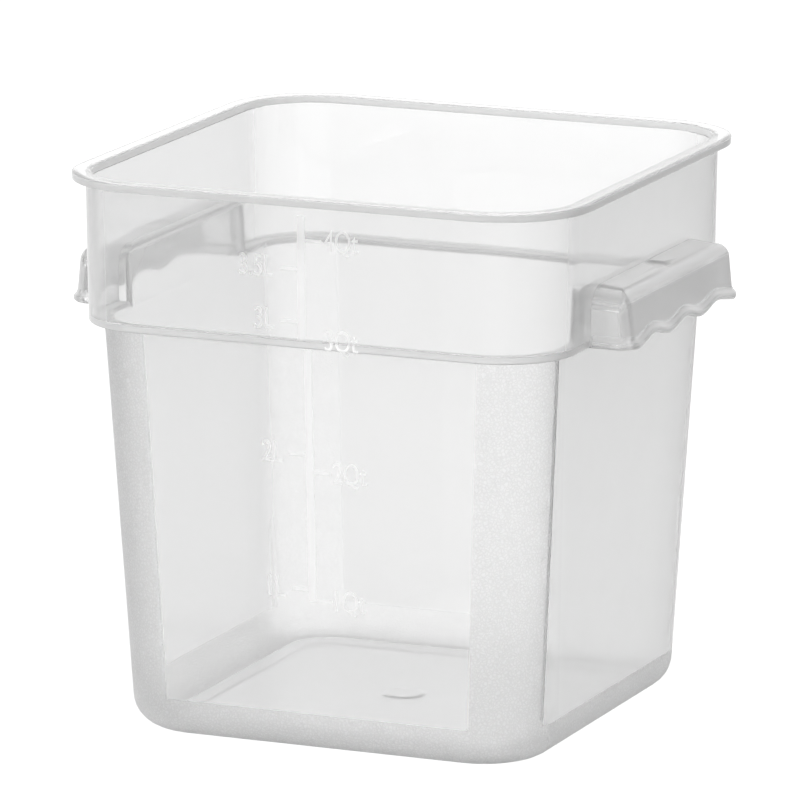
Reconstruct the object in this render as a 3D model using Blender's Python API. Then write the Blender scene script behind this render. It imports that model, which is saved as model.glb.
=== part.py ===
"""A square, open-topped food storage container moulded in translucent polypropylene.

The real container is one moulding. Its regions are modelled as separate solids that meet with a small
seam: the base pan, four flat window panels, four rounded corner posts, the collar with its shoulder,
the rim flange and two hollow side handles. Origin at the centre of the underside, +Z up, the handles on
+X and -X, and the volume scale on the face at -Y.
"""

import math

import bmesh
import bpy
from mathutils import Vector

# Overall: the tub stands under the collar, and each is as wide as the rim less the steps below
RIM_WIDTH = 0.1790
TUB_HEIGHT = 0.1365
COLLAR_HEIGHT = 0.0495
WALL = 0.0020
SEAM = 0.0003

# Rim flange
RIM_PROJECTION = 0.0043
RIM_THICKNESS = 0.0025
RIM_EDGE_RADIUS = 0.0006

# Collar, the wider upper walls, and the shoulder under them
COLLAR_TAPER = 0.0008
COLLAR_CORNER_RADIUS = 0.0271
SHOULDER_STEP = 0.0046
SHOULDER_EDGE_RADIUS = 0.0014

# Tub, the tapering lower walls
TUB_TAPER = 0.00555
TUB_TOP_CORNER_RADIUS = 0.0235
TUB_FOOT_CORNER_RADIUS = 0.0272
BASE_EDGE_RADIUS = 0.0107
PAN_HEIGHT = 0.0132

# Floor
FLOOR_THICKNESS = 0.0022
FOOT_STEP = 0.0010
FOOT_RING_WIDTH = 0.0060
GATE_RADIUS = 0.0072
GATE_DEPTH = 0.0007
GATE_LIP_WIDTH = 0.0012

# Side handles, hollow and open below
HANDLE_LENGTH = 0.0940
HANDLE_RISE = 0.0197
HANDLE_REACH = 0.0143
HANDLE_TOP_FALL = 0.0013
HANDLE_END_RADIUS = 0.0070
HANDLE_RIDGE_RADIUS = 0.0050
HANDLE_INNER_RADIUS = 0.0020
HANDLE_FRONT_CORNER_RADIUS = 0.0055
HANDLE_BACK_CORNER_RADIUS = 0.0025
SKIRT_DRAFT = math.radians(7)
LIP_PROJECTION = 0.0012
LIP_HEIGHT = 0.0018
GRIP_PITCH = 0.0280
GRIP_DEPTH = 0.0024
DIMPLE_RADIUS = 0.0040
DIMPLE_DEPTH = 0.0007

# Volume scale, raised on the front
SCALE_RELIEF = 0.0004
SCALE_RIB_WIDTH = 0.0026
SCALE_TICK_HEIGHT = 0.0009
SCALE_TICK_LENGTH = 0.0058
SCALE_TOP_GAP = 0.0060
SCALE_FOOT = 0.0515
SCALE_BITE = 0.0008
LITRE_HEIGHTS = (0.0554, 0.1004, 0.1453, 0.1625)
QUART_HEIGHTS = (0.0521, 0.0948, 0.1395, 0.1721)

CREASE_ANGLE = math.radians(32)
CORNER_STEPS = 8
HANDLE_CORNER_STEPS = 4
FILLET_STEPS = 4
GRIP_STEPS = 8
DIMPLE_STEPS = 16

# Looks of the regions, as a colour and a roughness
PANEL_LOOK = ((0.86, 0.87, 0.87), 0.16)
GRAIN_LOOK = ((0.84, 0.85, 0.85), 0.48)
COLLAR_LOOK = ((0.88, 0.89, 0.89), 0.20)
RIM_LOOK = ((0.93, 0.94, 0.94), 0.22)
HANDLE_LOOK = ((0.82, 0.83, 0.83), 0.20)
SEE_THROUGH_WEIGHT = 0.6

# Worked out from the sizes above
height = TUB_HEIGHT + COLLAR_HEIGHT
rim_half = RIM_WIDTH / 2
collar_top_half = rim_half - RIM_PROJECTION
collar_foot_half = collar_top_half - COLLAR_TAPER
tub_top_half = collar_foot_half - SHOULDER_STEP
tub_foot_half = tub_top_half - TUB_TAPER
rim_underside = height - RIM_THICKNESS
floor_top = FOOT_STEP + FLOOR_THICKNESS
handle_half = HANDLE_LENGTH / 2
handle_back = tub_top_half - WALL
handle_foot_front = collar_foot_half + HANDLE_REACH
handle_top = TUB_HEIGHT + HANDLE_RISE


def share(low, high, value):
    """Where value lies from low, 0, to high, 1."""
    return (value - low) / (high - low)


def between(low, high, part):
    return low + (high - low) * part


def collar_half_at(z):
    return between(collar_foot_half, collar_top_half, share(TUB_HEIGHT, height, z))


def tub_half_at(z):
    return between(tub_foot_half, tub_top_half, share(BASE_EDGE_RADIUS, TUB_HEIGHT, z))


def tub_radius_at(z):
    return between(TUB_FOOT_CORNER_RADIUS, TUB_TOP_CORNER_RADIUS, share(BASE_EDGE_RADIUS, TUB_HEIGHT, z))


def rounded_square(half, radius, z):
    """The points of a rounded square at height z, turning left from the +X side."""
    points = []
    centre = half - radius
    for quarter, (side_x, side_y) in enumerate(((1, 1), (-1, 1), (-1, -1), (1, -1))):
        for step in range(CORNER_STEPS + 1):
            angle = math.radians(90 * (quarter + step / CORNER_STEPS))
            x = side_x * centre + radius * math.cos(angle)
            y = side_y * centre + radius * math.sin(angle)
            points.append(Vector((x, y, z)))
    return points


def material(name, colour, roughness):
    made = bpy.data.materials.new(name)
    made.use_nodes = True
    shader = made.node_tree.nodes["Principled BSDF"]
    shader.inputs["Base Color"].default_value = (*colour, 1.0)
    shader.inputs["Roughness"].default_value = roughness
    shader.inputs["Metallic"].default_value = 0.0
    shader.inputs["Transmission Weight"].default_value = SEE_THROUGH_WEIGHT
    return made


def shade(mesh):
    mesh.shade_smooth()
    mesh.set_sharp_from_angle(angle=CREASE_ANGLE)


def finish(name, mesh_data, look=None):
    """Turns a bmesh into a named object with smooth round faces and, where it has a look, its own material."""
    bmesh.ops.recalc_face_normals(mesh_data, faces=mesh_data.faces)
    mesh = bpy.data.meshes.new(name)
    mesh_data.to_mesh(mesh)
    mesh_data.free()
    if look:
        mesh.materials.append(material(name, *look))
    shade(mesh)
    made = bpy.data.objects.new(name, mesh)
    bpy.context.scene.collection.objects.link(made)
    return made


def skin(mesh_data, rings, wrap=False, close=False):
    """Joins rings of equally many points by faces. wrap joins the last ring to the first, close caps both ends."""
    rows = [[mesh_data.verts.new(point) for point in ring] for ring in rings]
    count = len(rows[0])
    pairs = list(zip(rows, rows[1:]))
    if wrap:
        pairs.append((rows[-1], rows[0]))
    for lower, upper in pairs:
        for here in range(count):
            after = (here + 1) % count
            mesh_data.faces.new((lower[here], lower[after], upper[after], upper[here]))
    if close:
        mesh_data.faces.new(tuple(reversed(rows[0])))
        mesh_data.faces.new(tuple(rows[-1]))
    return rows


def prism(name, low, high, look=None):
    """A solid between two outlines, one at its foot and one at its top."""
    mesh_data = bmesh.new()
    skin(mesh_data, (low, high), close=True)
    return finish(name, mesh_data, look)


def cutter(made):
    made.hide_render = True
    made.display_type = "WIRE"
    return made


def combine(target, tool, operation):
    """Applies one Boolean and removes its tool."""
    modifier = target.modifiers.new("Boolean", "BOOLEAN")
    modifier.operation = operation
    modifier.solver = "EXACT"
    modifier.object = tool
    graph = bpy.context.evaluated_depsgraph_get()
    mesh = bpy.data.meshes.new_from_object(target.evaluated_get(graph))
    target.modifiers.remove(modifier)
    target.data = mesh
    shade(mesh)
    bpy.data.objects.remove(tool)


def corner_arc(half, radius, z, quarter, reverse=False):
    """The points round one corner of a rounded square; quarter 0 is the corner at +X +Y."""
    whole = rounded_square(half, radius, z)
    first = quarter * (CORNER_STEPS + 1)
    points = whole[first : first + CORNER_STEPS + 1]
    return list(reversed(points)) if reverse else points


def base_pan():
    """The floor with its rounded bottom edge, turned up as far as the windows' foot."""
    outer = []
    for step in range(FILLET_STEPS + 2):
        angle = math.radians(90 * step / (FILLET_STEPS + 1))
        inset = BASE_EDGE_RADIUS * (1 - math.sin(angle))
        z = BASE_EDGE_RADIUS * (1 - math.cos(angle))
        outer.append((tub_foot_half - inset, TUB_FOOT_CORNER_RADIUS - inset, z))
    edge = PAN_HEIGHT - SEAM
    outer.append((tub_half_at(edge), tub_radius_at(edge), edge))
    inner_radius = BASE_EDGE_RADIUS - WALL
    inner = [(tub_half_at(edge) - WALL, tub_radius_at(edge) - WALL, edge)]
    for step in range(FILLET_STEPS + 1):
        angle = math.radians(90 * (1 - step / FILLET_STEPS))
        inset = WALL + inner_radius * (1 - math.sin(angle))
        z = floor_top + inner_radius * (1 - math.cos(angle))
        inner.append((tub_foot_half - inset, TUB_FOOT_CORNER_RADIUS - inset, z))
    foot_half = tub_foot_half - BASE_EDGE_RADIUS - FOOT_RING_WIDTH
    foot_radius = TUB_FOOT_CORNER_RADIUS - BASE_EDGE_RADIUS - FOOT_RING_WIDTH
    step_half = foot_half - FOOT_STEP
    step_radius = foot_radius - FOOT_STEP
    below = [(step_half, step_radius, FOOT_STEP), (foot_half, foot_radius, 0)]
    rings = [rounded_square(*ring) for ring in below + outer + inner]
    mesh_data = bmesh.new()
    skin(mesh_data, rings, close=True)
    made = finish("base_pan", mesh_data, GRAIN_LOOK)
    ring = bmesh.new()
    profile = (
        (GATE_RADIUS - GATE_LIP_WIDTH, floor_top + GATE_DEPTH),
        (GATE_RADIUS - GATE_LIP_WIDTH / 2, floor_top - GATE_DEPTH),
        (GATE_RADIUS, floor_top + GATE_DEPTH),
    )
    turned = []
    for radius, z in profile:
        turned.append(circle(radius, z, 0, 0))
    skin(ring, turned, wrap=True)
    combine(made, cutter(finish("gate_groove", ring)), "DIFFERENCE")
    return made


def circle(radius, z, x, y):
    points = []
    for step in range(DIMPLE_STEPS):
        angle = math.tau * step / DIMPLE_STEPS
        points.append(Vector((x + radius * math.cos(angle), y + radius * math.sin(angle), z)))
    return points


def corner_post(name, quarter):
    """One grained, rounded corner of the tub, from the pan to the shoulder."""
    outlines = []
    for z in (PAN_HEIGHT, TUB_HEIGHT - SEAM):
        half = tub_half_at(z)
        radius = tub_radius_at(z)
        outline = corner_arc(half, radius, z, quarter)
        outline += corner_arc(half - WALL, radius - WALL, z, quarter, reverse=True)
        outlines.append(outline)
    return prism(name, *outlines, GRAIN_LOOK)


def window_panel(name, quarter):
    """One flat, polished wall of the tub between two corner posts; quarter 0 faces +X."""
    outlines = []
    for z in (PAN_HEIGHT, TUB_HEIGHT - SEAM):
        half = tub_half_at(z)
        reach = half - tub_radius_at(z) - SEAM
        corners = ((half - WALL, -reach), (half, -reach), (half, reach), (half - WALL, reach))
        outlines.append([turned_point(x, y, z, quarter) for x, y in corners])
    return prism(name, *outlines, PANEL_LOOK)


def turned_point(x, y, z, quarter):
    """The point after a number of quarter turns to the left."""
    for _ in range(quarter):
        x, y = -y, x
    return Vector((x, y, z))


def handle_arch(side, gap):
    """A cutter for the collar: the handle's end profile with a gap round it, run through one side wall."""
    half = handle_half + gap
    top = handle_top + gap
    radius = HANDLE_END_RADIUS + gap
    outline = [(-half, TUB_HEIGHT - WALL)]
    for step in range(HANDLE_CORNER_STEPS * 2 + 1):
        angle = math.radians(180 - 90 * step / (HANDLE_CORNER_STEPS * 2))
        outline.append((-half + radius + radius * math.cos(angle), top - radius + radius * math.sin(angle)))
    outline += [(-y, z) for y, z in reversed(outline)]
    near = handle_back - WALL
    far = collar_top_half + WALL
    rings = [[Vector((side * x, y, z)) for y, z in outline] for x in (near, far)]
    return prism("handle_arch", *rings)


def collar():
    """The upper walls and the shoulder that steps in to the tub, opened where the handles stand."""
    top = rim_underside - SEAM
    shoulder_top = TUB_HEIGHT + WALL
    inset = tub_top_half - WALL
    edge = SHOULDER_EDGE_RADIUS
    section = [(inset, TUB_HEIGHT)]
    for step in range(FILLET_STEPS + 1):
        angle = math.radians(90 * step / FILLET_STEPS)
        half = collar_foot_half - edge + edge * math.sin(angle)
        section.append((half, TUB_HEIGHT + edge - edge * math.cos(angle)))
    section.append((collar_half_at(top), top))
    section.append((collar_half_at(top) - WALL, top))
    for step in range(FILLET_STEPS + 1):
        angle = math.radians(90 * step / FILLET_STEPS)
        half = collar_foot_half - WALL - edge + edge * math.cos(angle)
        section.append((half, shoulder_top + edge - edge * math.sin(angle)))
    section.append((inset, shoulder_top))
    outer_inset = collar_foot_half - COLLAR_CORNER_RADIUS
    rings = []
    for half, z in section:
        rings.append(rounded_square(half, half - outer_inset, z))
    mesh_data = bmesh.new()
    skin(mesh_data, rings, wrap=True)
    made = finish("collar", mesh_data, COLLAR_LOOK)
    for side in (1, -1):
        combine(made, cutter(handle_arch(side, SEAM)), "DIFFERENCE")
    add_scale(made, TUB_HEIGHT + SCALE_RIB_WIDTH, height - SCALE_TOP_GAP, collar_half_at)
    return made


def rim_flange():
    """The flat outward flange that a lid snaps over."""
    inner = collar_half_at(height) - WALL
    edge = RIM_EDGE_RADIUS
    section = (
        (inner, rim_underside),
        (rim_half - edge, rim_underside),
        (rim_half, rim_underside + edge),
        (rim_half, height - edge),
        (rim_half - edge, height),
        (inner + edge, height),
        (inner, height - edge),
    )
    centre = collar_foot_half - COLLAR_CORNER_RADIUS
    rings = [rounded_square(half, half - centre, z) for half, z in section]
    mesh_data = bmesh.new()
    skin(mesh_data, rings, wrap=True)
    return finish("rim_flange", mesh_data, RIM_LOOK)


def lip_start():
    return collar_foot_half + LIP_PROJECTION


def lip_full():
    return lip_start() + LIP_PROJECTION + LIP_HEIGHT


def handle_plan(front_inset, end_inset, back_inset):
    """The handle's outline from above, drawn in on each side, as (place, outward way) pairs, +X being outward."""
    half = handle_half - end_inset
    front_radius = max(HANDLE_FRONT_CORNER_RADIUS - (front_inset + end_inset) / 2, SEAM)
    back_radius = max(HANDLE_BACK_CORNER_RADIUS - (back_inset + end_inset) / 2, SEAM)
    front = handle_foot_front - front_inset
    back = handle_back + back_inset
    corners = (
        (front - front_radius, half - front_radius, front_radius, 0),
        (back + back_radius, half - back_radius, back_radius, 90),
        (back + back_radius, back_radius - half, back_radius, 180),
        (front - front_radius, front_radius - half, front_radius, 270),
    )
    found = []
    for x, y, radius, start in corners:
        centre = Vector((x, y))
        for step in range(HANDLE_CORNER_STEPS + 1):
            angle = math.radians(start + 90 * step / HANDLE_CORNER_STEPS)
            way = Vector((math.cos(angle), math.sin(angle)))
            found.append((centre + radius * way, way))
        if start in (0, 180):
            side = 1 if y > 0 else -1
            for x_here in sorted((lip_start(), lip_full()), reverse=side > 0):
                found.append((Vector((x_here, side * half)), Vector((0.0, float(side)))))
    reach = half - front_radius
    count = max(2, round(2 * reach / GRIP_PITCH * GRIP_STEPS))
    for step in range(1, count):
        found.append((Vector((front, between(-reach, reach, step / count))), Vector((1.0, 0.0))))
    return found


def grip_rise(place, way):
    """How far the handle's lower edge is cut up at one place, a wave of finger grips along the skirt."""
    wave = (1 + math.cos(math.tau * place.y / GRIP_PITCH)) / 2
    return GRIP_DEPTH * wave * max(0.0, way.x) ** 2


def lip_share(place):
    """The lip runs along the skirt and dies out along each end before it reaches the collar."""
    return min(1.0, max(0.0, share(lip_start(), lip_full(), place.x)))


def skirt_lean(rise):
    return rise * math.tan(SKIRT_DRAFT)


def recess_lean(rise):
    """The recess wall leans in line with the tub below it."""
    return rise * (tub_top_half - tub_foot_half) / (TUB_HEIGHT - BASE_EDGE_RADIUS)


def handle_edge(inset, with_lip):
    """The lower rings of one skin of a handle, which follow the finger grips."""
    lip = ((LIP_PROJECTION / 2, 0), (LIP_PROJECTION, LIP_HEIGHT / 3), (LIP_PROJECTION, LIP_HEIGHT * 2 / 3))
    levels = lip if with_lip else ((0, 0),)
    rings = []
    for out, up in levels + ((0, LIP_HEIGHT + LIP_PROJECTION),):
        ring = []
        for place, way in handle_plan(inset + skirt_lean(up), inset, inset + recess_lean(up)):
            moved = place + way * (out * lip_share(place))
            ring.append(Vector((moved.x, moved.y, TUB_HEIGHT + grip_rise(place, way) + up)))
        rings.append(ring)
    return rings


def handle_crown(inset, top, reduce):
    """The upper rings of one skin of a handle, which round its walls over into the top plate."""
    ridge = HANDLE_RIDGE_RADIUS - reduce
    end = HANDLE_END_RADIUS - reduce
    inner = max(HANDLE_INNER_RADIUS - reduce, SEAM)
    rise = top - TUB_HEIGHT
    rings = []
    for step in range(FILLET_STEPS + 1):
        angle = math.radians(90 * step / FILLET_STEPS)
        drop = 1 - math.sin(angle)
        pull = 1 - math.cos(angle)
        front_inset = inset + skirt_lean(rise - HANDLE_TOP_FALL - ridge * drop) + ridge * pull
        back_inset = inset + recess_lean(rise - inner * drop) + inner * pull
        ring = []
        for place, way in handle_plan(front_inset, inset + end * pull, back_inset):
            radius = (ridge if way.x > 0 else inner) * way.x**2 + end * way.y**2
            fall = HANDLE_TOP_FALL * min(1.0, max(0.0, share(collar_foot_half, handle_foot_front, place.x)))
            ring.append(Vector((place.x, place.y, top - fall - radius * drop)))
        rings.append(ring)
    return rings


def handle(name, side):
    """One side handle: recess wall, top plate, two ends and a scalloped skirt, open below for the fingers."""
    outer = handle_edge(0, True) + handle_crown(0, handle_top, 0)
    inner = handle_edge(WALL, False) + handle_crown(WALL, handle_top - WALL, WALL)
    mesh_data = bmesh.new()
    rings = list(reversed(inner)) + outer
    if side < 0:
        rings = [[Vector((-point.x, -point.y, point.z)) for point in ring] for ring in rings]
    skin(mesh_data, rings, close=True)
    made = finish(name, mesh_data, HANDLE_LOOK)
    middle = side * (collar_foot_half + HANDLE_REACH / 3)
    level = handle_top - HANDLE_TOP_FALL / 3
    dish = bmesh.new()
    skin(
        dish,
        (
            circle(DIMPLE_RADIUS / 2, level - DIMPLE_DEPTH, middle, 0),
            circle(DIMPLE_RADIUS, level, middle, 0),
            circle(DIMPLE_RADIUS * 2, level + DIMPLE_RADIUS, middle, 0),
        ),
        close=True,
    )
    combine(made, cutter(finish("dimple_cutter", dish)), "DIFFERENCE")
    return made


def scale_outline(low, high):
    """The rib with its ticks, seen from the front: litres to its left, quarts to its right."""
    edge = SCALE_RIB_WIDTH / 2
    half_tick = SCALE_TICK_HEIGHT / 2
    room = (low + half_tick, high - half_tick)
    right = [(edge, low)]
    for z in QUART_HEIGHTS:
        if room[0] < z < room[1]:
            tip = edge + SCALE_TICK_LENGTH
            right += [(edge, z - half_tick), (tip, z - half_tick), (tip, z + half_tick), (edge, z + half_tick)]
    left = [(-edge, high)]
    for z in reversed(LITRE_HEIGHTS):
        if room[0] < z < room[1]:
            tip = -edge - SCALE_TICK_LENGTH
            left += [(-edge, z + half_tick), (tip, z + half_tick), (tip, z - half_tick), (-edge, z - half_tick)]
    return right + [(edge, high)] + left + [(-edge, low)]


def add_scale(wall, low, high, half_at):
    """Joins the raised rib and its ticks between two heights to a wall of the front."""
    outline = scale_outline(low, high)
    front = [Vector((x, -half_at(z) - SCALE_RELIEF, z)) for x, z in outline]
    behind = [Vector((x, SCALE_BITE - half_at(z), z)) for x, z in outline]
    combine(wall, cutter(prism("volume_scale", front, behind)), "UNION")


def clear_scene():
    for found in list(bpy.data.objects):
        bpy.data.objects.remove(found)


def main():
    clear_scene()
    base_pan()
    for name, quarter in (("right_window", 0), ("rear_window", 1), ("left_window", 2)):
        window_panel(name, quarter)
    front = window_panel("front_window", 3)
    add_scale(front, SCALE_FOOT, TUB_HEIGHT - SCALE_RIB_WIDTH, tub_half_at)
    posts = ("rear_right_post", "rear_left_post", "front_left_post", "front_right_post")
    for quarter, name in enumerate(posts):
        corner_post(name, quarter)
    collar()
    rim_flange()
    handle("right_handle", 1)
    handle("left_handle", -1)


main()
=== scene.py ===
import math

import bmesh
import bpy
from mathutils import Matrix, Vector


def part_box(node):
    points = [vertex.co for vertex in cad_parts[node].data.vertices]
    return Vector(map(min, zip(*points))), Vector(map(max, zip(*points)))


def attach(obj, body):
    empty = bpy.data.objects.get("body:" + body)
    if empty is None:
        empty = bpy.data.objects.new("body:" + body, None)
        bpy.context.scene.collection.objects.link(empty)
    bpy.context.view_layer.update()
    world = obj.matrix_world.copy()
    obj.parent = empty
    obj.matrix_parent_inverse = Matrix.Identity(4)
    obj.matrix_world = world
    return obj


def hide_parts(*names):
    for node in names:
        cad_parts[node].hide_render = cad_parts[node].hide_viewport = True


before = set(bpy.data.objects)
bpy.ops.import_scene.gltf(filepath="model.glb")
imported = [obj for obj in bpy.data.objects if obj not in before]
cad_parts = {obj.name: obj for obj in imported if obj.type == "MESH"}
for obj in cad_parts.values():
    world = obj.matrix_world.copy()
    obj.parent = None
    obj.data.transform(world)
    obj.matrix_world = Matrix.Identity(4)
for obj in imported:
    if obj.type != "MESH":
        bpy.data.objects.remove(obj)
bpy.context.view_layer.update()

# Body sizes, in metres: the outside comes from the solids, the rest are the moulding's own details
rim_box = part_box("rim_flange")
collar_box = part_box("collar")
window_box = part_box("rear_window")
handle_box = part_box("right_handle")
WALL = 0.0020
COLLAR_TAPER = 0.0008
COLLAR_CORNER_RADIUS = 0.0252
SHOULDER_EDGE_RADIUS = 0.0008
LEDGE_EDGE_RADIUS = 0.0012
TUB_TAPER = 0.00555
TUB_TOP_CORNER_RADIUS = 0.0222
TUB_FOOT_CORNER_RADIUS = 0.0260
BASE_EDGE_RADIUS = 0.0107
FLOOR_THICKNESS = 0.0022
FOOT_STEP = 0.0010
FOOT_CHAMFER = FOOT_STEP / 4
FOOT_RING_WIDTH = 0.0060
RIM_EDGE_RADIUS = 0.0004

# The low dome that the mould's gate leaves in the middle of the floor
GATE_RADIUS = 0.0078
GATE_RISE = 0.0003
GATE_SLOPE_SHARE = 0.35
GATE_ROUNDNESS = 0.9

# Polished windows: half their width at the top and at the foot, on the sides and on the front and rear
SIDE_WINDOW = (0.0612, 0.0573)
FRONT_WINDOW = (0.0585, 0.0534)

# Handles
HANDLE_LENGTH = 0.0940
HANDLE_REACH = 0.0143
HANDLE_TOP_FALL = 0.0013
HANDLE_END_RADIUS = 0.0075
HANDLE_RIDGE_RADIUS = 0.0042
HANDLE_INNER_RADIUS = 0.0020
HANDLE_FRONT_CORNER_RADIUS = 0.0045
HANDLE_BACK_CORNER_RADIUS = 0.0010
SKIRT_DRAFT = math.radians(7)
LIP_PROJECTION = 0.0012
LIP_HEIGHT = 0.0030
GRIP_PITCH = 0.0280
GRIP_DEPTH = 0.0024
FALL_CREASE = 0.0006
SMALLEST_RADIUS = 0.0003
JOINT_REACH = 0.0002

# The dimple in a handle's top, and its section from the middle outward in shares of its radius and depth
DIMPLE_PLACE = HANDLE_REACH / 3
DIMPLE_RADIUS = 0.0044
DIMPLE_DEPTH = 0.0007
DIMPLE_SECTION = ((0.35, -1.0), (0.6, -0.85), (0.8, -0.5), (1.0, 0.0), (1.15, 0.6))

# Short steps beside a rounded edge, which keep the flat face next to it flat
FLAT_MARGIN = 0.0010
SUPPORT = 0.0005
FLAT_SUPPORT = 0.02

# How much more the look from outside meets where the wall is solid plastic
PAN_SOLID = 0.03
SHOULDER_SOLID = 0.7
FLOOR_EDGE_SOLID = 0.15
RECESS_SOLID = -0.03
HANDLE_EDGE_SOLID = 0.30
UPRIGHT_LIMIT = 0.2
UPRIGHT_SOLID = 0.6
BACK_CORNER_SOLID = 0.5
LEDGE_FADE = 0.0003

# How far a rounded edge has turned, as a slope, where it starts to look solid and where it is most so
UPRIGHT_TURN = (0.05, 0.30)
EDGE_TURN = (0.35, 0.75)

# Which of its materials a strip of a shell's faces wears
WALL_LOOK = 0
JOINT_LOOK = 1
FLOOR_LOOK = 2

# Volume scale
SCALE_RELIEF = 0.0002
SCALE_SINK = 0.0001
SCALE_RIB_WIDTH = 0.0026
SCALE_TICK_HEIGHT = 0.0009
SCALE_TICK_LENGTH = 0.0058
SCALE_TOP_GAP = 0.0060
SCALE_FOOT = 0.0515
LABEL_HEIGHT = 0.0073
CAPITAL_SHARE = 0.73
LITRE_LABEL_GAP = 0.0026
QUART_LABEL_GAP = 0.0010
LABEL_WIDTH_SHARE = 0.72
LITRE_MARKS = (("1L", 0.0554), ("2L", 0.1004), ("3L", 0.1453), ("3.5L", 0.1625))
QUART_MARKS = (("1Qt", 0.0521), ("2Qt", 0.0948), ("3Qt", 0.1395), ("4Qt", 0.1721))
MERGE_DISTANCE = 0.000001

# How finely the shells are divided
EDGE_STEPS = 3
FLAT_STEPS = 8
POST_STEPS = 18
LEVEL_STEPS = 6
FILLET_STEPS = 8
HANDLE_CORNER_STEPS = 10
LIP_STEPS = 4
GRIP_STEPS = 16
DIMPLE_STEPS = 32
RIM_CORNER_STEPS = 24
RIM_EDGE_STEPS = 4
CREASE_ANGLE = math.radians(34)

# Plastic: how square a look still counts, how cloudy it is, and its leather grain, with painted shade in
# the grain's valleys
LEAST_SQUARE = 0.04
CLOUD_SCALE = 38.0
CLOUD_DETAIL = 3.0
CLOUD_REACH = 0.05
SMEAR_SCALE = 120.0
SMEAR_DETAIL = 4.0
SMEAR_REACH = 0.05
GRAIN_SCALE = 900.0
GRAIN_SLOPE = 3.5
GRAIN_WANDER = 0.0022
GRAIN_WANDER_SCALE = 600.0
GRAIN_WANDER_DETAIL = 3.0
GRAIN_VALLEY_PAINTED_SHADE = 0.2
GRAIN_RELIEF = 0.0001

# The photograph's camera
CAMERA_PLACE = Vector((1.07178, -2.51775, 0.7046))
CAMERA_LOOK = Vector((-0.38308691, 0.89838737, -0.21481281))
CAMERA_RIGHT = Vector((0.91982922, 0.39231885, 0.00037133))
CAMERA_REACH = 20.0
SENSOR_WIDTH = 36.0
PHOTO_PIXELS = 800
FOCAL_PIXELS = 8507.056

# The stage's floor, which glows as painted light: full in a broad strip under the object, and how that
# glow fades across the strip
FLOOR_ACROSS = (0.91982922, 0.39231885, 0.0)
FLOOR_HALF = 6.0
FLOOR_GAP = 0.0003
FLOOR_TONE = 0.25
FLOOR_ROUGHNESS = 0.6
FLOOR_GLOW = 0.95
FLOOR_SIDE_GLOW = 0.6
FLOOR_FULL_GLOW_HALF = 0.25
FLOOR_FADE_HALF = 0.75

# The studio: its sky by height, the even light on the plastic's milk, and the softboxes, each with its
# name, place, target, width, height and power
HORIZON_LIGHT = 1.1
ZENITH_LIGHT = 1.0
HORIZON_TOP = 0.25
ZENITH_FOOT = 0.6
EVEN_LIGHT = 0.40
EVEN_LIGHT_WAY = (0.0, -0.17, 0.25)
SOFTBOXES = (
    ("overhead_softbox", (0.0, 0.2, 1.6), (0.0, 0.0, 0.1), 1.2, 1.2, 4.0),
    ("left_softbox", (-1.2, -1.8, 0.9), (0.0, 0.0, 0.1), 0.6, 1.2, 2.5),
    ("front_strip", (-1.0, -2.2, 0.33), (0.0, 0.0, 0.15), 2.6, 0.12, 9.0),
)
CLEAR_BOUNCES = 32
BOUNCES = 24
BRIGHTEST_BOUNCE = 3.0

# Sizes worked out from those above
height = rim_box[1].z
rim_half = rim_box[1].x
rim_underside = rim_box[0].z
collar_top_half = collar_box[1].x
collar_foot_half = collar_top_half - COLLAR_TAPER
shoulder_z = collar_box[0].z
pan_z = window_box[0].z
tub_top_half = window_box[1].y
tub_foot_half = tub_top_half - TUB_TAPER
floor_top = FOOT_STEP + FLOOR_THICKNESS
collar_corner_centre = collar_foot_half - COLLAR_CORNER_RADIUS
handle_half = HANDLE_LENGTH / 2
handle_back = tub_top_half - WALL
handle_foot_front = collar_foot_half + HANDLE_REACH
handle_top = handle_box[1].z
lip_start = collar_foot_half
lip_full = lip_start + LIP_PROJECTION
stations_per_window = 2 * EDGE_STEPS + FLAT_STEPS
stations_per_quarter = stations_per_window + POST_STEPS


def share(low, high, value):
    """Where value lies from low, 0, to high, 1."""
    return (value - low) / (high - low)


def between(low, high, part):
    """The value at part of the way from low to high."""
    return low + (high - low) * part


def limited(value):
    """Value held between 0 and 1."""
    return min(1.0, max(0.0, value))


def tub_half_at(z):
    return between(tub_foot_half, tub_top_half, share(BASE_EDGE_RADIUS, shoulder_z, z))


def tub_radius_at(z):
    up = share(BASE_EDGE_RADIUS, shoulder_z, z)
    return between(TUB_FOOT_CORNER_RADIUS, TUB_TOP_CORNER_RADIUS, up)


def collar_half_at(z):
    return between(collar_foot_half, collar_top_half, share(shoulder_z, height, z))


def window_spreads(z):
    """How far round the corner each polished window reaches at height z, as angles: side, then front."""
    reach = tub_half_at(z) - tub_radius_at(z)
    spreads = []
    for top, foot in (SIDE_WINDOW, FRONT_WINDOW):
        edge = between(foot, top, share(pan_z, shoulder_z, z))
        spreads.append(math.asin((edge - reach) / tub_radius_at(z)))
    return spreads


# Shells that follow a rounded square


def flat_places():
    """Where a flat wall is divided, from -1 to 1, with short first and last steps."""
    inner = [2 * step / (FLAT_STEPS - 2) - 1 for step in range(1, FLAT_STEPS - 2)]
    return [-1.0, FLAT_SUPPORT - 1.0] + inner + [1.0 - FLAT_SUPPORT]


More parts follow.
